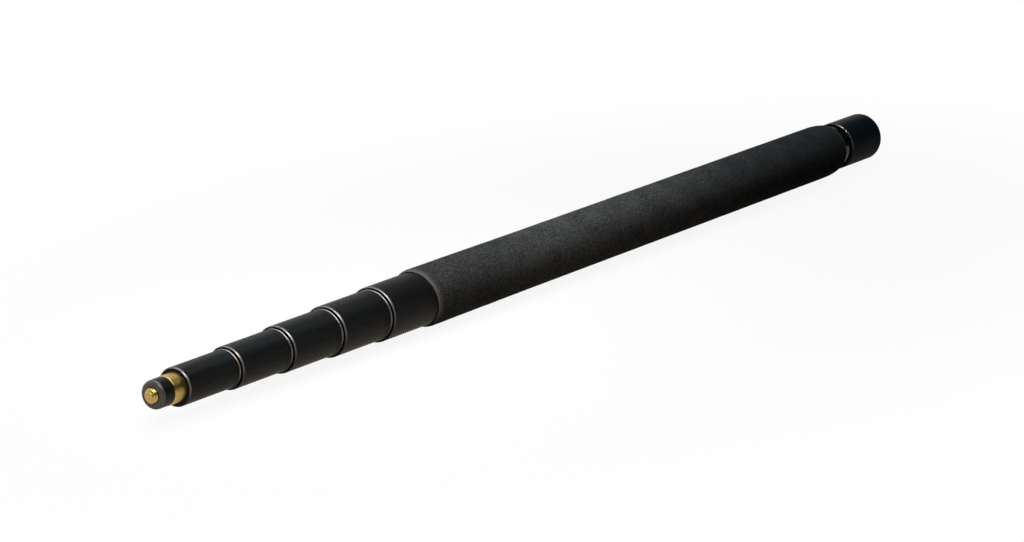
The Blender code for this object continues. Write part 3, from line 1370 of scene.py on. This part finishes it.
@dataclass
class ButtEnd(Assembly):
    """The screwed cap on the handle's butt, with its seal and plug.

    Attributes:
        wall: The cap's wall.
        end_wall: Thickness of its closed end.
        end_round: Round at that end.
        end_wear: How far that round is rubbed.
        boss_length: Length of the boss inside.
        boss_wall: The boss's wall.
        boss_gap: From the boss out to the cap's skirt.
        boss_round: Round on the boss's end.
        skirt_round: Round on the inside of the cap's open rim.
        rim: Round on the outside of the rim.
        rim_wear_and_highlight: How far the rim is rubbed where that is most, which is a painted
            highlight.
        rim_highlight_side: The side of that painted highlight, as an angle up from +Y.
        rim_focus: How closely the rim's rubbing keeps to that side, which makes the highlight a
            short arc.
        round_steps: Chords along each of the cap's rounds.
        segments: Points round the cap.
        seal_gap: Clearance of the seal round the handle tube.
        seal_crown: Round on the seal's edges.
    """

    wall: float = 0.00115
    end_wall: float = 0.0050
    end_round: float = 0.0041
    end_wear: float = 0.10
    boss_length: float = 0.0130
    boss_wall: float = 0.0020
    boss_gap: float = 0.0047
    boss_round: float = 0.0003
    skirt_round: float = 0.0002
    rim: float = 0.00028
    rim_wear_and_highlight: float = 1.0
    rim_highlight_side: float = math.radians(44.0)
    rim_focus: float = 10.0
    round_steps: int = 8
    segments: int = 96
    seal_gap: float = 0.0003
    seal_crown: float = 0.00032

    def build(self, box: Paintbox) -> None:
        """Make the cap and the seal, and dress the plug.

        Args:
            box: Where the finishes come from.
        """
        cap = Span.of("end_cap")
        skirt = cap.radius - self.wall
        boss = skirt - self.boss_gap
        inner = cap.rear + self.end_wall
        edge = self.wall / 2
        outline = [
            (inner, AXIS_HOLE, 0.0),
            (inner, boss - self.boss_wall, 0.0),
            (inner + self.boss_length, boss - self.boss_wall, self.boss_round),
            (inner + self.boss_length, boss, self.boss_round),
            (inner, boss, 0.0),
            (inner, skirt, 0.0),
            (cap.front, skirt, self.skirt_round),
            (cap.front, cap.radius - edge, self.rim),
            (cap.front - edge, cap.radius, self.rim),
            (cap.rear, cap.radius, self.end_round),
            (cap.rear, AXIS_HOLE, 0.0),
        ]
        # Painted highlight: the rim is rubbed paler and metallic in a short arc on one side only.
        rim_rub_and_highlight = wear_with_painted_highlight(self.rim_wear_and_highlight, self.rim_focus, self.rim_highlight_side, self.segments)
        rows = [
            replace(row, rub=rim_rub_and_highlight if row.x > inner else self.end_wear) if row.rub else row
            for row in reversed(rounded(outline, self.round_steps))
        ]
        piece = Turned("cap_turned", rows, self.segments).build()
        self.fit(piece, "end_cap", "butt_cap", Look.CAP, box)
        self.build_seal(box)
        box.dress_node("butt_plug", Look.ALLOY)

    def build_seal(self, box: Paintbox) -> None:
        """Make the rubber ring in front of the cap's rim.

        Args:
            box: Where the finish comes from.
        """
        seal = Span.of("cap_seal")
        bore = Span.of("tube_1").radius + self.seal_gap
        outline = plain_ring(seal, bore, (0.0, 0.0, self.seal_crown, self.seal_crown))
        piece = Turned("seal_ring", rounded(outline)).build()
        self.fit(piece, "cap_seal", "butt_seal", Look.RUBBER, box)


@dataclass
class TipEnd(Assembly):
    """The knurled tip sleeve, the brass fitting with its stud, and the lock nut.

    Attributes:
        edge: Chamfer on the sleeve's front end.
        seat: From the sleeve's front face back to where the brass body ends.
        seat_gap: How far in front of that the sleeve's inner step is.
        mouth_round: Round at the sleeve's mouth.
        shown: Brass body in front of the sleeve.
        body_gap: Clearance round the brass body, and in front of the last tube.
        tube_gap: Clearance round the last tube.
        shank_gap: From the last tube's outside in to the fitting's shank.
        shank_round: Round on the shank's rear end.
        hollow_wall: The shank's wall.
        web: Solid brass behind the stud.
        shoulder_round: Round on the brass body's front.
        stud_radius: Major radius of the stud.
        stud_neck: Plain neck behind the stud's thread.
        stud_chamfer: Taper on the stud's end, which the thread runs over.
        stud_segments: Points round the fitting.
        thread_pitch: The stud's thread pitch.
        thread_depth: The stud's thread depth.
        thread_rings: Rings to each pitch of the thread.
        taper_depth: The thread's depth on the tapered end.
        crown: How far the stud's end is crowned.
        crown_shares: Where the rings of the crown are, as shares of its radius.
        nut_gap: Clearance of the nut's bore round the stud.
        nut_edges: Rounds on the nut's front bore, its rear bore and its rear edge.
        nut_round: Round on the nut's front.
        nut_steps: Chords along each of the nut's rounds.
        nut_wear: How far the nut's front is rubbed by the mounts screwed against it.
        nut_margin: How far in front of the nut's side that rubbing begins.
        knurl: The sleeve's knurling.
    """

    edge: float = 0.0006
    seat: float = 0.0291
    seat_gap: float = 0.0005
    mouth_round: float = 0.0001
    shown: float = 0.0101
    body_gap: float = 0.00025
    tube_gap: float = 0.00025
    shank_gap: float = 0.00115
    shank_round: float = 0.0003
    hollow_wall: float = 0.0026
    web: float = 0.0080
    shoulder_round: float = 0.0007
    stud_radius: float = 0.0047625
    stud_neck: float = 0.0003
    stud_chamfer: float = 0.0018
    stud_segments: int = 72
    thread_pitch: float = 0.0015875
    thread_depth: float = 0.00060
    thread_rings: int = 12
    taper_depth: float = 0.00040
    crown: float = 0.0003
    crown_shares: Triple = (0.85, 0.55, 0.25)
    nut_gap: float = 0.00025
    nut_edges: Triple = (0.0004, 0.0002, 0.0004)
    nut_round: float = 0.0024
    nut_steps: int = 6
    nut_wear: float = 0.6
    nut_margin: float = 0.0001
    knurl: Knurl = field(default_factory=lambda: Knurl(edge_focus=2.5))

    def build(self, box: Paintbox) -> None:
        """Make the sleeve, the fitting and the nut.

        Args:
            box: Where the finishes come from.
        """
        sleeve = Span.of("tip_sleeve")
        tube = Span.of("tube_5")
        body = Span.of("tip_fitting").radius
        step = sleeve.front - self.seat + self.seat_gap
        inside = [
            (sleeve.front, body + self.body_gap, self.mouth_round),
            (step, body + self.body_gap, 0.0),
            (step, tube.radius + self.tube_gap, 0.0),
            (sleeve.rear, tube.radius + self.tube_gap, 0.0),
        ]
        piece = knurled_shell("sleeve_knurled", sleeve, self.knurl, self.edge, inside)
        self.fit(piece, "tip_sleeve", "section_5", Look.COLLAR, box)
        self.build_fitting(sleeve.front, body, tube, box)
        self.build_nut(box)

    def thread(self, x: float, depth: float) -> ByNumber:
        """The stud's screw thread round one ring.

        Args:
            x: The ring's place along the pole.
            depth: The thread's depth there, which is less on the tapered end.

        Returns:
            How far each point of the ring lies under the crests, by its number.
        """

        def relief(n: int) -> float:
            """How deep the thread is cut at one point."""
            phase = (x / self.thread_pitch - n / self.stud_segments) % 1.0
            return -depth * (0.5 - 0.5 * math.cos(math.tau * phase))

        return relief

    def stud_rows(self, start: float, front: float) -> list[Row]:
        """Rings along the threaded stud and over its crowned end.

        Args:
            start: Where the thread begins.
            front: The stud's end.

        Returns:
            The rings in order, closing on the axis.
        """
        nose = self.stud_radius - self.stud_chamfer
        end = front - self.crown
        count = round((end - start) / self.thread_pitch * self.thread_rings)
        rows: list[Row] = []
        for n in range(count + 1):
            x = start + (end - start) * n / count
            major = min(self.stud_radius, nose + end - x)
            depth = self.thread_depth if major == self.stud_radius else self.taper_depth
            rows.append(Row(x, major, self.thread(x, depth), 1.0))
        for share in self.crown_shares:
            rows.append(Row(front - self.crown * share ** 2, nose * share, rub=1.0))
        rows.append(Row(front, AXIS_HOLE, rub=1.0))
        return rows

    def build_fitting(self, mouth: float, body: float, tube: Span, box: Paintbox) -> None:
        """Make the brass fitting with a cut thread on its stud.

        Args:
            mouth: The sleeve's front face.
            body: The brass body's radius.
            tube: The last tube.
            box: Where the finish comes from.
        """
        span = Span.of("tip_fitting")
        shoulder = mouth + self.shown
        seat = tube.front + self.body_gap
        shank = tube.radius - self.shank_gap
        hollow = shank - self.hollow_wall
        outline = [
            (shoulder - self.web, AXIS_HOLE, 0.0),
            (span.rear, hollow, 0.0),
            (span.rear, shank, self.shank_round),
            (seat, shank, 0.0),
            (seat, body, 0.0),
            (shoulder, body, self.shoulder_round),
            (shoulder, self.stud_radius - self.thread_depth, 0.0),
        ]
        rows = rounded(outline)
        rows.insert(1, Row(shoulder - self.web, hollow))
        rows += self.stud_rows(shoulder + self.stud_neck, span.front)
        piece = Turned("fitting_brass", rows, self.stud_segments).build()
        self.fit(piece, "tip_fitting", "section_5", Look.BRASS, box)

    def build_nut(self, box: Paintbox) -> None:
        """Make the round lock nut.

        Args:
            box: Where the finish comes from.
        """
        nut = Span.of("lock_nut")
        bore = self.stud_radius + self.nut_gap
        outline = plain_ring(nut, bore, (*self.nut_edges, self.nut_round))
        side = nut.front - self.nut_round + self.nut_margin
        rows = [
            replace(row, rub=self.nut_wear * (row.x > side))
            for row in rounded(outline, self.nut_steps)
        ]
        piece = Turned("nut_turned", rows).build()
        self.fit(piece, "lock_nut", "tip_nut", Look.NUT, box)


@dataclass(frozen=True)
class Lamp:
    """A soft box light.

    Attributes:
        name: The lamp's name.
        place: Where it hangs.
        target: What it points at.
        size: The length and width of its face.
        power: Its power in watts.
        colour: Its colour.
        spread: How wide its beam opens, in degrees.
    """

    name: str
    place: Triple
    target: Triple
    size: tuple[float, float]
    power: float
    colour: Colour
    spread: float

    def build(self) -> None:
        """Hang the lamp."""
        light = bpy.data.lights.new(self.name, "AREA")
        light.shape = "RECTANGLE"
        light.size, light.size_y = self.size
        light.energy = self.power
        light.color = self.colour
        light.spread = math.radians(self.spread)
        lamp = stand(self.name, light)
        lamp.location = self.place
        aim = Vector(self.target) - Vector(self.place)
        lamp.rotation_euler = aim.to_track_quat("-Z", "Y").to_euler()
        lamp.visible_camera = False


@dataclass
class Studio:
    """The floor, the lamps, the surroundings and the camera.

    Attributes:
        lamps: The soft lights.
        ambient: Strength of the even light all round.
        ambient_colour: Its colour.
        room_side: How far a ray points away from the backdrop where the room is fully dim.
        backdrop_side: The same where the backdrop is fully white.
        floor_size: Side of the square floor.
        floor_colour: The floor's colour where it is seen.
        bounce_front: What the floor throws back on the pole round the tip.
        bounce_rear: The same round the butt, where less light falls.
        sheen_front: The floor's white as polished metal shows it round the tip.
        sheen_rear: The same round the butt, dimmer there as painted shade.
        sheen_reach: Places along the floor, from its middle, where the rear turns into the front.
        floor_white: How far the floor is shown as plain white, over the shadow.
        shadow_shape: How quickly the shadow fades along the pole, across it and upwards.
        shadow_reach: Distances from the pole between which the shadow fades out.
        eye: The camera's place.
        look: The camera's direction.
        focal: The camera's focal length in pixels of the frame.
        sensor: Width of the camera's sensor in millimetres.
        clip: The nearest and the furthest that the camera shows.
    """

    lamps: Sequence[Lamp]
    ambient: float = 0.008
    ambient_colour: Colour = (0.86, 0.95, 1.0)
    room_side: float = -0.15
    backdrop_side: float = -0.60
    floor_size: float = 24.0
    floor_colour: Colour = (0.95, 0.95, 0.95)
    bounce_front: Colour = (0.18, 0.160, 0.120)
    bounce_rear: Colour = (0.008, 0.008, 0.008)
    sheen_front: Colour = (0.88, 0.79, 0.68)
    sheen_rear: Colour = (0.36, 0.355, 0.335)
    sheen_reach: Pair = (-0.45, 0.05)
    floor_white: float = 0.90
    shadow_shape: Triple = (0.6, 1.0, 0.0)
    shadow_reach: Pair = (0.12, 0.45)
    eye: Triple = (2.6808, 1.5280, 0.7013)
    look: Triple = (-0.79653, -0.54886, -0.25366)
    focal: float = 4207.0
    sensor: float = 36.0
    clip: Pair = (0.05, 60.0)

    def build(self) -> None:
        """Set up everything round the pole."""
        for lamp in self.lamps:
            lamp.build()
        self.build_world()
        self.build_floor()
        self.build_camera()
        bpy.context.scene.view_settings.view_transform = "Standard"

    def build_world(self) -> None:
        """Make white surroundings, with a dim room on the side that the camera looks from."""
        world = bpy.data.worlds.new("studio")
        world.use_nodes = True
        bpy.context.scene.world = world
        graph = Graph(world.node_tree)
        towards = graph.node("TexCoord", output="Generated")
        across = graph.node("SeparateXYZ", {}, {0: towards}, "Y")
        backdrop = across.eased(self.room_side, self.backdrop_side)
        glossy = graph.ray(Ray.GLOSSY) * backdrop
        white = graph.ray(Ray.CAMERA).larger(graph.ray(Ray.CLEAR)).larger(glossy)
        dim = scaled(self.ambient_colour, self.ambient)
        around = graph.node("Background", {}, {"Color": graph.mix(white, dim, WHITE)})
        graph.node("OutputWorld", {}, {"Surface": around})

    def build_floor(self) -> None:
        """Lay a pale floor under the pole that shows white and keeps its shadow."""
        low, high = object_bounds()
        half = self.floor_size / 2
        corners = [(-half, -half, 0.0), (half, -half, 0.0), (half, half, 0.0), (-half, half, 0.0)]
        mesh = bpy.data.meshes.new("floor")
        mesh.from_pydata(corners, [], [(0, 1, 2, 3)])
        mesh.materials.append(self.floor_material())
        floor = stand("floor", mesh)
        floor.location = ((low.x + high.x) / 2, 0.0, low.z)
        floor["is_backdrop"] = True

    def floor_material(self) -> bpy.types.Material:
        """Make the floor's finish.

        Returns:
            The new material.
        """
        material = bpy.data.materials.new("pale_floor")
        material.use_nodes = True
        graph = Graph(material.node_tree)
        seen = graph.seen()
        spread = graph.stretched(self.shadow_shape)
        away = graph.node("VectorMath", {"operation": "LENGTH"}, {0: spread}, "Value")
        plain = away.eased(*self.shadow_reach)
        ahead = graph.along().eased(*self.sheen_reach)
        bounce = graph.mix(ahead, self.bounce_rear, self.bounce_front)
        matt = graph.node("BsdfDiffuse", {}, {"Color": graph.mix(seen, bounce, self.floor_colour)})
        # Painted shade: the floor's white in reflections dims from the tip towards the butt.
        sheen = graph.mix(ahead, self.sheen_rear, self.sheen_front)
        glow = graph.mix(graph.ray(Ray.GLOSSY), WHITE, sheen)
        white = graph.node("Emission", {}, {"Color": glow})
        share = seen * (self.floor_white + (1.0 - self.floor_white) * plain)
        shown = graph.node("MixShader", {}, {0: share, 1: matt, 2: white})
        graph.node("OutputMaterial", {}, {"Surface": shown})
        return material

    def build_camera(self) -> None:
        """Stand the camera where the photograph was taken."""
        lens = bpy.data.cameras.new("camera")
        lens.sensor_fit = "HORIZONTAL"
        lens.sensor_width = self.sensor
        lens.lens = self.sensor * self.focal / FRAME_WIDTH
        lens.clip_start, lens.clip_end = self.clip
        camera = stand("camera", lens)
        camera.location = self.eye
        camera.rotation_euler = Vector(self.look).to_track_quat("-Z", "Y").to_euler()
        bpy.context.scene.camera = camera


LAMPS = (
    Lamp(
        "overhead",
        place=(0.53, -0.10, 0.78),
        target=(0.53, 0.0, 0.0),
        size=(0.55, 0.45),
        power=2.05,
        colour=(0.88, 0.955, 1.0),
        spread=110.0,
    ),
    Lamp(
        "front",
        place=(1.15, 0.27, 0.70),
        target=(0.70, 0.0, 0.0),
        size=(0.50, 0.50),
        power=0.64,
        colour=(1.0, 0.94, 0.88),
        spread=50.0,
    ),
    Lamp(
        "tip",
        place=(0.19, 0.24, 0.40),
        target=(0.83, 0.0, 0.0),
        size=(0.26, 0.26),
        power=0.0060,
        colour=(1.0, 0.97, 0.92),
        spread=14.0,
    ),
    Lamp(
        "butt",
        place=(0.62, 0.35, 0.80),
        target=(0.03, 0.0, 0.0),
        size=(0.14, 0.14),
        power=0.0045,
        colour=(0.90, 0.96, 1.0),
        spread=8.0,
    ),
)

# The foam's lip covers part of the first collar's bead, which is wider and is not rubbed.
HANDLE_KNURL = Knurl(bead=0.0012, bead_rubbed=0.0)


def main() -> None:
    """Build the pole's pieces from the butt to the tip, then the studio."""
    logging.basicConfig(level=logging.INFO, format="%(message)s")
    box = Paintbox(FINISHES)
    ButtEnd().build(box)
    FoamGrip().build(box)
    for section in range(1, SECTIONS + 1):
        SlidingTube(section).build(box)
    TwistLock(1, knurl=HANDLE_KNURL).build(box)
    for section in range(2, SECTIONS):
        TwistLock(section).build(box)
    TipEnd().build(box)
    Studio(LAMPS).build()


if __name__ == "__main__":
    main()
